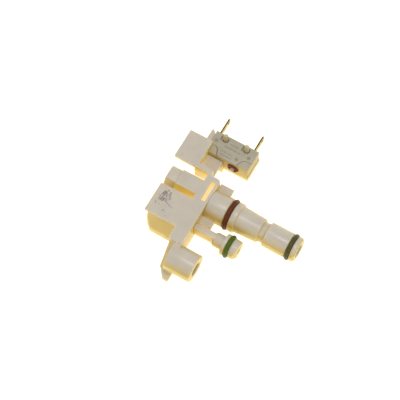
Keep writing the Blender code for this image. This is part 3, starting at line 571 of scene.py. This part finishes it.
housing_cut = 2.4 * MM
far = 40 * MM
spool_bore = 3 * MM
stem_bore = 1.45 * MM
ram_bore = 3.6 * MM
poppet_bore = 0.9 * MM
boss_bore = 3 * MM
slot_back, slot_front = block_high.x - 2.9 * MM, block_high.x - 1.2 * MM
holes = [
    turned("chamber_bore", [(-far, 0), (-far, spool_bore), (chamber_high.x, spool_bore),
                            (chamber_high.x, 0)], (0, 0, 0)),
    turned("stem_hole", [(0, 0), (0, stem_bore), (far, stem_bore), (far, 0)], (0, 0, 0), steps=32),
    turned("pressure_bore", [(housing_low.x + 1.4 * MM, 0), (housing_low.x + 1.4 * MM, ram_bore),
                             (housing_high.x, ram_bore), (housing_high.x, 0)],
           (0, pilot_y, 0)),
    turned("pilot_hole", [(housing_low.x + 3 * MM, 0), (housing_low.x + 3 * MM, poppet_bore),
                          (far, poppet_bore), (far, 0)], (0, pilot_y, 0), steps=32),
    turned("boss_bore", softened([
        (boss_high.x - 9 * MM, 0), (boss_high.x - 9 * MM, boss_bore),
        (boss_high.x - 0.3 * MM, boss_bore), (boss_high.x + 0.3 * MM, 3.5 * MM),
        (far, 3.5 * MM), (far, 0),
    ], 0.2 * MM), (0, boss_y, 0), steps=64),
    plate("clip_slot", rounded([
        (slot_back, -2.55 * MM), (slot_front, -2.55 * MM),
        (slot_front, 6.3 * MM), (slot_back, 6.3 * MM),
    ], 0.8 * MM, corners=(0, 1)), roof - 4 * MM, roof + 1 * MM, round_by=0),
    plate("housing_corner", rounded([
        (housing_low.x - 9 * MM, housing_low.y - 9 * MM),
        (housing_low.x + 9 * MM, housing_low.y - 9 * MM),
        (housing_low.x + 9 * MM, housing_low.y - 0.01 * MM),
        (housing_low.x + housing_cut, housing_low.y - 0.01 * MM),
        (housing_low.x - 0.01 * MM, housing_low.y + housing_cut),
        (housing_low.x - 9 * MM, housing_low.y + housing_cut),
    ], 1.1 * MM, corners=(3, 4)), -far, lid_low.z, round_by=0),
]
combine(body, holes, "DIFFERENCE")
rim(body, 0.16 * MM)
dress(body, body_nylon, "valve", "nylon_body", "flange_block", "housing_lid", "neck_beam",
      "rear_plate", "switch_web", "wing_upper", "wing_lower", "rear_chamber",
      "pressure_housing", "locating_boss", "boss_wall")

# ---- chamber cap ---------------------------------------------------------------------
# Closes the rear chamber: a slightly smaller cover of the same section, pressed in on its
# plug with a small black ring.
cap_high = station("chamber_cap", 1)
cap_end = chamber_low.x - 0.02 * MM
cap = plate("cap_cover", rounded(chamber_outline(0.45 * MM, cap_high.z), 0.8 * MM,
                                 corners=(1, 2)),
            0.0, cap_end, axis="X", round_by=0)
rim(cap, 0.25 * MM, segments=3)
plug_ring = station("plug_oring", 0).x + 0.5 * MM
plug_radius = 2.75 * MM
plug_groove = 0.65 * MM
plug = turned("plug", [
    (cap_end - 1 * MM, 0), (cap_end - 1 * MM, plug_radius),
    (plug_ring - plug_groove, plug_radius), (plug_ring - plug_groove, 1.5 * MM),
    (plug_ring + plug_groove, 1.5 * MM), (plug_ring + plug_groove, plug_radius),
    (cap_high.x, plug_radius), (cap_high.x, 0),
], (0, 0, 0), steps=64)
combine(cap, [plug], "UNION")
dress(cap, body_nylon, "valve", "nylon_body", "chamber_cap")

# ---- wear on the lid plate -----------------------------------------------------------
# Grey handling scuffs and a few scratches rubbed into the plain plate over the pressure
# housing, thinnest toward its edges.


def graphite(name, code, scale, low, high, stretch):
    """Rubbed-on grey marks: dark where a stretched noise passes a level, clear elsewhere."""
    material, tree, shader, place = started(name)
    smear = add(tree, "ShaderNodeMapping", {"Scale": stretch, "Rotation": (0.0, 0.0, 0.6)},
                {"Vector": place.outputs["Object"]})
    noise = add(tree, "ShaderNodeTexNoise", {"Scale": scale, "Detail": 5.0, "Roughness": 0.62},
                {"Vector": smear.outputs["Vector"]})
    cover = add(tree, "ShaderNodeMapRange", {"From Min": low, "From Max": high, "To Max": 0.3},
                {"Value": noise.outputs["Fac"]})
    tree.links.new(cover.outputs["Result"], shader.inputs["Alpha"])
    shader.inputs["Base Color"].default_value = srgb(code)
    shader.inputs["Roughness"].default_value = 0.7
    return material


# Both marks lie on the plate a few microns proud, so that they have an edge of their own.
scuff_marks = graphite("rubbed_scuffs", "958f84", 620.0, 0.44, 0.58, (2.4, 0.8, 1.0))
score_marks = graphite("scored_lines", "8a8478", 900.0, 0.36, 0.5, (1.0, 1.0, 1.0))
wear_marks = [
    (scuff_marks, ((2.4, 5.9), (5.6, 6.4), (6.9, 8.2), (5.8, 11.2), (3.6, 12.0), (2.6, 9.4))),
    (score_marks, ((1.2, 8.2), (9.2, 5.4), (9.3, 5.6), (1.3, 8.45))),
    (score_marks, ((1.9, 5.4), (2.1, 5.4), (2.5, 4.6), (2.9, 4.4), (2.8, 4.2), (2.2, 4.5))),
    (score_marks, ((3.6, 4.8), (4.1, 4.7), (4.2, 4.4), (3.7, 4.5))),
    (score_marks, ((6.2, 2.8), (6.5, 2.7), (6.9, 3.6), (6.7, 3.8))),
    (score_marks, ((8.0, 1.2), (8.7, 1.3), (8.5, 1.7), (8.0, 1.6))),
]
for look, outline in wear_marks:
    patch = plate("lid_scuffs", softened([
        (lid_low.x + x * MM, lid_low.y + y * MM) for x, y in outline
    ], 0.5 * MM, closed=True, turns=5), roof + 0.002 * MM, roof + 0.008 * MM, round_by=0)
    dress(patch, look, "valve", "nylon_lid")

# ---- switch cradle -------------------------------------------------------------------
# Thick nylon floor moulded onto the web, with an upright rib and a slanted hook that holds
# the switch's rear end. Two pegs pass through the switch's fixing holes.
cradle_low, cradle_high = station("switch_cradle", 0), station("switch_cradle", 1)
cell_low, cell_high = station("switch_base", 0), station("switch_base", 1)
cradle_roof = cell_low.z - 0.25 * MM
hook_edge = cell_low.x - 0.03 * MM
hook_front = cell_low.y + 0.45 * (cell_high.y - cell_low.y)
cradle = plate("cradle_moulding", rounded([
    (cradle_low.x, cell_low.y), (cradle_high.x, cell_low.y), (cradle_high.x, cradle_high.y),
    (cradle_low.x, cradle_high.y),
], 0.4 * MM), cradle_low.z, cradle_roof, round_by=0)
hook = plate("hook", rounded([
    (cradle_low.x, hook_front), (hook_edge, hook_front), (hook_edge, cell_high.y - 1.5 * MM),
    (cradle_low.x + 0.5 * MM, cradle_high.y - 0.45 * MM), (cradle_low.x, cell_high.y - 0.6 * MM),
], 0.25 * MM), cradle_low.z, cradle_high.z, round_by=0)
bracket = plate("bracket", [
    (neck_low.x, cradle_low.y), (web_high.x + 0.4 * MM, cradle_low.y),
    (web_high.x + 0.4 * MM, cell_low.y + 1 * MM), (neck_low.x, cell_low.y + 1 * MM),
], cradle_low.z, -MIDDLE - 0.01 * MM, round_by=0)
combine(cradle, [hook, bracket], "UNION")
clearance = slab("clearance", (neck_low.x - 1 * MM, cell_low.y - 0.25 * MM, cradle_roof),
                 (cradle_high.x + 1 * MM, cell_high.y, 2 * MM), 0)
combine(cradle, [clearance], "DIFFERENCE")
rim(cradle, 0.15 * MM)
dress(cradle, body_nylon, "valve", "nylon_body", "switch_cradle")
# Painted light and shade: pale tones on the pin tops, darker olive tones on their shaded sides.
pin_nylon = nylon("natural_nylon_pins", ("c8bfae", "d2c9b7"), ("bfb18a", "c9bc96"), 0.42)
for name in ("peg_left", "peg_right"):
    low, high = station(name, 0), station(name, 1)
    centre = (low + high) / 2
    radius = (high.x - low.x) / 2
    peg = turned(f"{name}_pin", softened([
        (low.z, 0.0), (low.z, radius), (high.z - 1.2 * MM, radius),
        (high.z - 0.5 * MM, 0.82 * radius),
        (high.z, 0.35 * radius), (high.z, 0.0),
    ], 0.25 * MM), (centre.x, centre.y, 0), axis="Z", steps=48)
    dress(peg, pin_nylon, "valve", "nylon_body", name)

# ---- switch case ---------------------------------------------------------------------
# Two snap-together mouldings: a glass-filled case, and a T-shaped cover let into it flush.
# The cover carries plain inlaid bars and discs in place of its printed ratings.


def moulding(name, face, wall, roughness=0.45):
    """Hard opaque moulding compound: painted light in its upper-face and wall tones where they
    differ, faint flow clouds and eroded-steel texture.
    """
    material, tree, shader, place = started(name)
    cloud, skin = painted_light_tones(tree, place, face, wall, 350.0)[2:]
    tree.links.new(skin, shader.inputs["Base Color"])
    grain = add(tree, "ShaderNodeTexNoise", {"Scale": 7000.0, "Detail": 3.0},
                {"Vector": place.outputs["Object"]})
    bump = add(tree, "ShaderNodeBump", {"Strength": 0.15, "Distance": 0.00002},
               {"Height": grain.outputs["Fac"]})
    tree.links.new(bump.outputs["Normal"], shader.inputs["Normal"])
    gloss = add(tree, "ShaderNodeMapRange", {"To Min": roughness - 0.05,
                                             "To Max": roughness + 0.08},
                {"Value": cloud.outputs["Fac"]})
    tree.links.new(gloss.outputs["Result"], shader.inputs["Roughness"])
    return material


# Painted light: the case's grey-beige tones go on its level top and the yellow ones on its upright
# sides.
case_plastic = moulding("glass_filled_switch_moulding", ("b4ac93", "bdb59c"), ("d6ba66", "dfc576"))
cover_low, cover_high = station("switch_cover", 0), station("switch_cover", 1)
plunger_low, plunger_high = station("switch_plunger", 0), station("switch_plunger", 1)
plunger_x = (plunger_low.x + plunger_high.x) / 2
span = cell_high.x - cell_low.x
bar_y = cell_low.y + 0.38 * (cell_high.y - cell_low.y)
left_foot, right_foot = cell_low.x + 0.27 * span, cell_high.x - 0.27 * span
left_side, right_side = cell_low.x + 0.21 * span, cell_high.x - 0.21 * span
case_top = cover_high.z
seam = 0.14 * MM


def cover_shape(grow):
    """T-shaped outline of the cover with rounded shoulders, grown by the seam."""
    low_x, high_x = cell_low.x - 2 * grow, cell_high.x + 2 * grow
    return rounded([
        (left_foot - grow, cell_low.y - 2 * grow), (right_foot + grow, cell_low.y - 2 * grow),
        (right_side + grow, bar_y - grow - 0.9 * MM), (right_side + grow + 1.2 * MM, bar_y - grow),
        (high_x, bar_y - grow), (high_x, cell_high.y + 2 * grow),
        (low_x, cell_high.y + 2 * grow), (low_x, bar_y - grow),
        (left_side - grow - 1.2 * MM, bar_y - grow), (left_side - grow, bar_y - grow - 0.9 * MM),
    ], 0.7 * MM, corners=(2, 3, 8, 9))


case = slab("switch_case", (cell_low.x, cell_low.y, cradle_roof - 0.02 * MM),
            (cell_high.x, cell_high.y, case_top), 0.2 * MM)
seam_cut = plate("seam_cut", cover_shape(seam), cover_low.z - 0.05 * MM, case_top + 1 * MM,
                 round_by=0)
cavity = slab("cavity", (cell_low.x + 2.6 * MM, cell_low.y + 1.45 * MM, -2 * MM),
              (cell_high.x - 2.2 * MM, cell_high.y - 3.8 * MM, cover_low.z), 0.2 * MM)
guide = turned("guide", [(cell_low.y - 1 * MM, 0), (cell_low.y - 1 * MM, 1.1 * MM),
                         (cell_low.y + 3 * MM, 1.1 * MM), (cell_low.y + 3 * MM, 0)],
               (plunger_x, 0, 0), axis="Y", steps=32)
seat_ring = turned("seat_ring", [(cell_low.y - 1 * MM, 0), (cell_low.y - 1 * MM, 2.55 * MM),
                                 (cell_low.y + 0.12 * MM, 2.55 * MM), (cell_low.y + 0.12 * MM, 0)],
                   (plunger_x, 0, 0), axis="Y", steps=48)
pins = []
for name in ("peg_left", "peg_right"):
    low, high = station(name, 0), station(name, 1)
    pins.append(((low + high) / 2, (high.x - low.x) / 2))


def peg_hole(label, centre, radius):
    """Cutter for a fixing hole with 0.25 mm of play round the peg."""
    return turned(f"{label}_hole", [
        (-9 * MM, 0), (-9 * MM, radius + 0.25 * MM), (9 * MM, radius + 0.25 * MM), (9 * MM, 0),
    ], (centre.x, centre.y, 0), axis="Z", steps=40)


def terminal_slot(name):
    """Cutter for the slot that a terminal passes through."""
    low, high = station(name, 0), station(name, 1)
    return slab(f"{name}_slot", (low.x - 0.12 * MM, low.y - 0.2 * MM, low.z - 0.12 * MM),
                (high.x + 0.12 * MM, high.y, high.z + 0.12 * MM), 0)


combine(case, [seam_cut, cavity, guide, seat_ring]
        + [peg_hole("case", centre, radius) for centre, radius in pins]
        + [terminal_slot(name) for name in ("terminal_common", "terminal_open")], "DIFFERENCE")
collar = turned("collar", softened([
    (cell_low.y + 0.2 * MM, 2.45 * MM), (cell_low.y - 0.2 * MM, 2.45 * MM),
    (cell_low.y - 0.2 * MM, 2.7 * MM), (cell_low.y + 0.2 * MM, 2.85 * MM),
], 0.08 * MM, closed=True), (plunger_x, 0, 0), axis="Y", steps=64)
dress(case, case_plastic, "valve", "switch_base", "switch_base")

cover = plate("switch_lid", cover_shape(0.0), cover_low.z, case_top - 0.02 * MM, round_by=0.1 * MM)
ink = []
for x, y, reach in ((cell_low.x + 1.8 * MM, cell_low.y + 5.7 * MM, 0.85 * MM),
                    (cell_high.x - 2.3 * MM, cell_low.y + 5.1 * MM, 0.8 * MM),
                    (plunger_x, cell_low.y + 2.25 * MM, 0.75 * MM)):
    ink.append(turned("rating_disc", softened([
        (case_top - 0.2 * MM, 0), (case_top - 0.2 * MM, reach), (case_top, reach), (case_top, 0),
    ], 0.03 * MM), (x, y, 0), axis="Z", steps=40))
for start, row, lengths in (
        (14.7, 25.0, (0.5, 0.8, 0.4, 0.9)), (12.9, 23.2, (0.9, 0.5, 1.1, 0.6, 0.8, 0.5, 0.7)),
        (12.8, 20.9, (0.7, 1.0, 0.6, 0.8, 0.4)), (13.2, 19.5, (0.9, 0.6, 1.1, 0.6, 0.4))):
    x = start * MM
    y = row * MM
    for length in lengths:
        ink.append(slab("rating_bar", (x, y - 0.33 * MM, case_top - 0.2 * MM),
                        (x + length * MM, y + 0.33 * MM, case_top), 0.03 * MM, 1))
        x += (length + 0.3) * MM
cuts = []
for centre, radius in pins:
    cuts.append(peg_hole("lid", centre, radius))
    cuts.append(slab("hole_relief", (centre.x - 2.1 * MM, centre.y - radius, case_top - 0.9 * MM),
                     (centre.x, centre.y + radius, case_top + 1 * MM), 0))
cuts += [terminal_slot(name) for name in ("terminal_common", "terminal_open")]
combine(cover, cuts, "DIFFERENCE")
# Painted light: the cover's level top takes the grey tones and its rims the yellower ones.
dress(cover, moulding("switch_cover_moulding", ("b4ad97", "bcb59f"), ("c2b489", "cabd94")),
      "valve", "switch_cover", "switch_cover")
dress(collar, case_plastic, "valve", "switch_base")
printing = moulding("pad_print_ink", ("9a9581", "a39e8a"), ("9a9581", "a39e8a"), 0.6)
for bar in ink:
    dress(bar, printing, "valve", "switch_cover")

# ---- plunger and its boot ------------------------------------------------------------
# Turned acetal button running in a moulded brown silicone boot, which is held under the
# case's collar and keeps water out of the switch.
boot_low = station("plunger_seal", 0)
boot = turned("plunger_boot", softened([
    (cell_low.y + 0.1 * MM, 1.15 * MM), (cell_low.y - 0.3 * MM, 1.15 * MM),
    (cell_low.y - 0.45 * MM, 1.3 * MM), (boot_low.y, 1.6 * MM), (boot_low.y, 2.15 * MM),
    (cell_low.y - 0.5 * MM, 2.4 * MM), (cell_low.y + 0.1 * MM, 2.4 * MM),
], 0.22 * MM, closed=True), (plunger_x, 0, 0), axis="Y", steps=64)
dress(boot, rubber("brown_silicone_boot", "7a3312", 0.55, "8e4a22"), "valve", "rubber_brown",
      "plunger_seal")
button = turned("button", softened([
    (plunger_low.y, 0.0), (plunger_low.y, 0.55 * MM), (plunger_low.y + 0.3 * MM, 0.88 * MM),
    (plunger_high.y, 0.88 * MM), (plunger_high.y, 0.0),
], 0.15 * MM), (plunger_x, 0, 0), axis="Y", steps=48)
acetal = moulding("acetal_turning", ("aaa596", "b4af9f"), ("aaa596", "b8b3a4"), 0.35)
dress(button, acetal, "button", "acetal", "switch_plunger")

# ---- terminals and contacts ----------------------------------------------------------
# Blade terminals stamped from brass strip: rolled faces, darker sheared edges and a
# punched eye. Inside, a beryllium copper blade carries the silver contacts.


def rolled(name, bright, dull, roughness, along=(40.0, 900.0, 900.0), sheared=None):
    """Rolled strip or drawn wire: fine lines along its length and a little tarnish. Stamped
    strip has darker sheared edges, which lie level here."""
    material, tree, shader, place = started(name)
    tarnish = add(tree, "ShaderNodeTexNoise", {"Scale": 600.0, "Detail": 4.0},
                  {"Vector": place.outputs["Object"]})
    tint = add(tree, "ShaderNodeValToRGB", None, {"Fac": tarnish.outputs["Fac"]})
    for stop, position, code in zip(tint.color_ramp.elements, (0.35, 0.7), (bright, dull)):
        stop.position = position
        stop.color = srgb(code)
    tree.links.new(tint.outputs["Color"], shader.inputs["Base Color"])
    if sheared:
        facing = add(tree, "ShaderNodeSeparateXYZ", None, {"Vector": place.outputs["Normal"]})
        level = add(tree, "ShaderNodeMapRange", {"From Min": 0.5, "From Max": 0.8},
                    {"Value": facing.outputs["Z"]})
        edge = add(tree, "ShaderNodeMix", {"data_type": "RGBA"})
        tree.links.new(level.outputs["Result"], edge.inputs[0])
        tree.links.new(tint.outputs["Color"], edge.inputs[6])
        edge.inputs[7].default_value = srgb(sheared)
        tree.links.new(edge.outputs[2], shader.inputs["Base Color"])
    stretch = add(tree, "ShaderNodeMapping", {"Scale": along}, {"Vector": place.outputs["Object"]})
    lines = add(tree, "ShaderNodeTexNoise", {"Scale": 8.0, "Detail": 3.0},
                {"Vector": stretch.outputs["Vector"]})
    bump = add(tree, "ShaderNodeBump", {"Strength": 0.2, "Distance": 0.00001},
               {"Height": lines.outputs["Fac"]})
    tree.links.new(bump.outputs["Normal"], shader.inputs["Normal"])
    gloss = add(tree, "ShaderNodeMapRange", {"To Min": roughness - 0.06, "To Max": roughness + 0.1},
                {"Value": tarnish.outputs["Fac"]})
    tree.links.new(gloss.outputs["Result"], shader.inputs["Roughness"])
    shader.inputs["Metallic"].default_value = 1.0
    return material


brass = rolled("rolled_brass_strip", "dcc468", "b79a3c", 0.34, (900.0, 60.0, 900.0),
               "4c3f14")
for name in ("terminal_common", "terminal_open"):
    low, high = station(name, 0), station(name, 1)
    blade = slab(f"{name}_blade", low, high, 0.12 * MM, 2)
    for end in (-1, 1):
        corner = slab(f"{name}_corner", (-1 * MM, -0.5 * MM, -0.5 * MM),
                      (1 * MM, 0.5 * MM, 0.5 * MM), 0)
        corner.location = ((low.x + high.x) / 2, high.y, high.z if end > 0 else low.z)
        corner.rotation_euler = (math.radians(45), 0, 0)
        combine(blade, [corner], "DIFFERENCE")
    eye = turned(f"{name}_eye", [(low.x - 1 * MM, 0), (low.x - 1 * MM, 0.6 * MM),
                                 (high.x + 1 * MM, 0.6 * MM), (high.x + 1 * MM, 0)],
                 (0, high.y - 1.6 * MM, 0), steps=32)
    combine(blade, [eye], "DIFFERENCE")
    dress(blade, brass, "valve", "brass_terminal", name)
blade_low, blade_high = station("snap_blade", 0), station("snap_blade", 1)
spring = slab("spring_blade", blade_low, blade_high, 0.04 * MM, 1)
window = slab("blade_window", (blade_low.x + 2 * MM, blade_low.y - 1 * MM, -0.4 * MM),
              (blade_high.x - 4.6 * MM, blade_high.y + 1 * MM, 0.4 * MM), 0)
combine(spring, [window], "DIFFERENCE")
dress(spring, rolled("beryllium_copper_strip", "c88a58", "a86c3c", 0.3), "blade", "copper_blade",
      "snap_blade")
silver = rolled("silver_contact_rivet", "d6d4cc", "aaa89e", 0.25)
for name, body_name in (("moving_contact", "blade"), ("fixed_contact", "valve")):
    low, high = station(name, 0), station(name, 1)
    centre = (low + high) / 2
    radius = (high.x - low.x) / 2
    rivet = turned(f"{name}_rivet", softened([
        (low.y, 0.0), (low.y, radius), (high.y - 0.1 * MM, radius), (high.y, 0.7 * radius),
        (high.y, 0.0),
    ], 0.08 * MM), (centre.x, 0, 0), axis="Y", steps=40)
    dress(rivet, silver, body_name, "silver_contact", name)

# ---- diverter spool ------------------------------------------------------------------
# Acetal piston and mushroom head on one stem, with a black ring on the piston. The coil
# behind the piston pushes it back to the cap. The pressure piston is made the same way.
drawn_steel = rolled("drawn_spring_wire", "b4b6b8", "86888c", 0.28)
black_rubber = rubber("black_nitrile", "1c1c1d", 0.5, "343434")
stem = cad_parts["spool_stem"]
stem.data.materials.clear()
stem.data.materials.append(acetal)
for node, joint, y, travel in (("spool_spring", "spool_slide", 0.0, 2.5 * MM),
                               ("pressure_spring", "pressure_slide", pilot_y, 3.0 * MM)):
    low, high = station(node, 0), station(node, 1)
    wire = 0.28 * MM                # radius of the wire
    coils = 4
    sides = 12
    steps = 200
    reach = high.z - wire
    length = high.x - low.x
    shape = bmesh.new()
    rings = []
    for i in range(steps + 1):
        part = i / steps
        angle = 2 * math.pi * coils * part
        x = low.x + wire + (length - 2 * wire) * part * part * (3 - 2 * part)
        ring = []
        for k in range(sides):
            turn = 2 * math.pi * k / sides
            out = reach + wire * math.cos(turn)
            ring.append(shape.verts.new((x + wire * math.sin(turn), out * math.cos(angle),
                                         out * math.sin(angle))))
        rings.append(ring)
    for near, far in zip(rings, rings[1:]):
        for k in range(sides):
            shape.faces.new((near[k], near[(k + 1) % sides], far[(k + 1) % sides], far[k]))
    shape.faces.new(rings[0])
    shape.faces.new(rings[-1])
    wound = settle(f"{node}_coil", shape, (0, y, 0))
    dress(wound, drawn_steel, "valve", "spring_steel", node)
    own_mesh(wound)
for name, base, seal, body_name, y in (
        ("spool_piston", 1.5 * MM, "spool_piston_seal", "spool", 0.0),
        ("pressure_piston", 0.0, "pressure_piston_seal", "pressure_ram", pilot_y)):
    low, high = station(name, 0), station(name, 1)
    middle = (low.x + high.x) / 2
    radius = high.z
    groove = 0.62 * MM
    floor_radius = station(seal, 1).z - 2 * 0.5 * MM - 0.05 * MM
    piston = turned(f"{name}_turning", softened([
        (low.x, base), (low.x, radius), (middle - groove, radius),
        (middle - groove, floor_radius), (middle + groove, floor_radius),
        (middle + groove, radius), (high.x, radius), (high.x, base),
    ], 0.1 * MM, closed=bool(base)), (0, y, 0), steps=72)
    dress(piston, acetal, body_name, "acetal", name)
    ring = o_ring(f"{name}_ring", seal, black_rubber, "rubber_black", 0.02 * MM)
    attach(ring, body_name)
o_ring("plug_ring", "plug_oring", black_rubber, "rubber_black", 0.02 * MM)
head_low, head_high = station("spool_head", 0), station("spool_head", 1)
head = turned("head_turning", softened([
    (head_low.x, 0.0), (head_low.x, 0.6 * head_high.z), (head_low.x + 0.5 * MM, head_high.z),
    (head_high.x - 0.5 * MM, head_high.z), (head_high.x, 0.6 * head_high.z), (head_high.x, 0.0),
], 0.15 * MM), (0, 0, 0), steps=72)
dress(head, acetal, "spool", "acetal", "spool_head")

# ---- pilot poppet --------------------------------------------------------------------
# Small turned acetal poppet with a coned nose, loose in the pilot bore. Water under
# pressure pushes it back into the body.
poppet_low, poppet_high = station("pilot_poppet", 0), station("pilot_poppet", 1)
poppet_radius = poppet_high.z
poppet = turned("poppet_turning", softened([
    (poppet_low.x, 0.0), (poppet_low.x, poppet_radius), (poppet_high.x - 0.8 * MM, poppet_radius),
    (poppet_high.x, 0.5 * poppet_radius), (poppet_high.x, 0.0),
], 0.12 * MM), (0, pilot_y, 0), steps=48)
dress(poppet, acetal, "poppet", "acetal", "pilot_poppet")

# ---- floor, light and camera ---------------------------------------------------------
# A warm white light table under the part, one large soft box high above it, cool fill from
# the air, and a long lens from high on the nose side.
shape = bmesh.new()
bmesh.ops.create_grid(shape, x_segments=1, y_segments=1, size=8.0)
floor = settle("floor", shape, (0, 0, cad_bounds[0][2] - 0.0005))
table = bpy.data.materials.new("light_table_acrylic")
table.use_nodes = True
panel = table.node_tree.nodes["Principled BSDF"]
panel.inputs["Base Color"].default_value = srgb("8a8474")
panel.inputs["Roughness"].default_value = 0.6
panel.inputs["Emission Color"].default_value = (1.0, 0.97, 0.88, 1.0)
panel.inputs["Emission Strength"].default_value = 1.08
floor.data.materials.append(table)

world = bpy.data.worlds.new("studio_air")
bpy.context.scene.world = world
world.use_nodes = True
world.node_tree.nodes["Background"].inputs["Color"].default_value = (0.95, 0.97, 1.0, 1.0)
world.node_tree.nodes["Background"].inputs["Strength"].default_value = 0.6


def lamp(name, where, aim, size, watts, colour="ffffff"):
    """Square soft box at a point, turned to face its aim."""
    light = bpy.data.lights.new(name, "AREA")
    light.energy = watts
    light.size = size
    light.color = srgb(colour)[:3]
    stand = bpy.data.objects.new(name, light)
    stand.location = where
    stand.rotation_euler = (Vector(aim) - Vector(where)).to_track_quat("-Z", "Y").to_euler()
    bpy.context.scene.collection.objects.link(stand)
    return stand


lamp("top_box", (0.02, 0.0, 1.0), (0.02, 0, 0), 0.2, 2.4, "fff8ee")

azimuth, elevation, distance = 30.05, 66.5, 0.7
aim = Vector((0.01573, -0.00105, 0.00123))
camera_data = bpy.data.cameras.new("camera")
camera_data.lens = 161.3
camera_data.sensor_width = 36.0
camera_data.clip_start = 0.01
camera = bpy.data.objects.new("camera", camera_data)
turn = math.radians(azimuth)
lift = math.radians(elevation)
camera.location = aim + distance * Vector((math.sin(turn) * math.cos(lift),
                                           -math.cos(turn) * math.cos(lift), math.sin(lift)))
camera.rotation_euler = (math.pi / 2 - lift, 0, turn)
bpy.context.scene.collection.objects.link(camera)
bpy.context.scene.camera = camera
bpy.context.scene.view_settings.view_transform = "Standard"
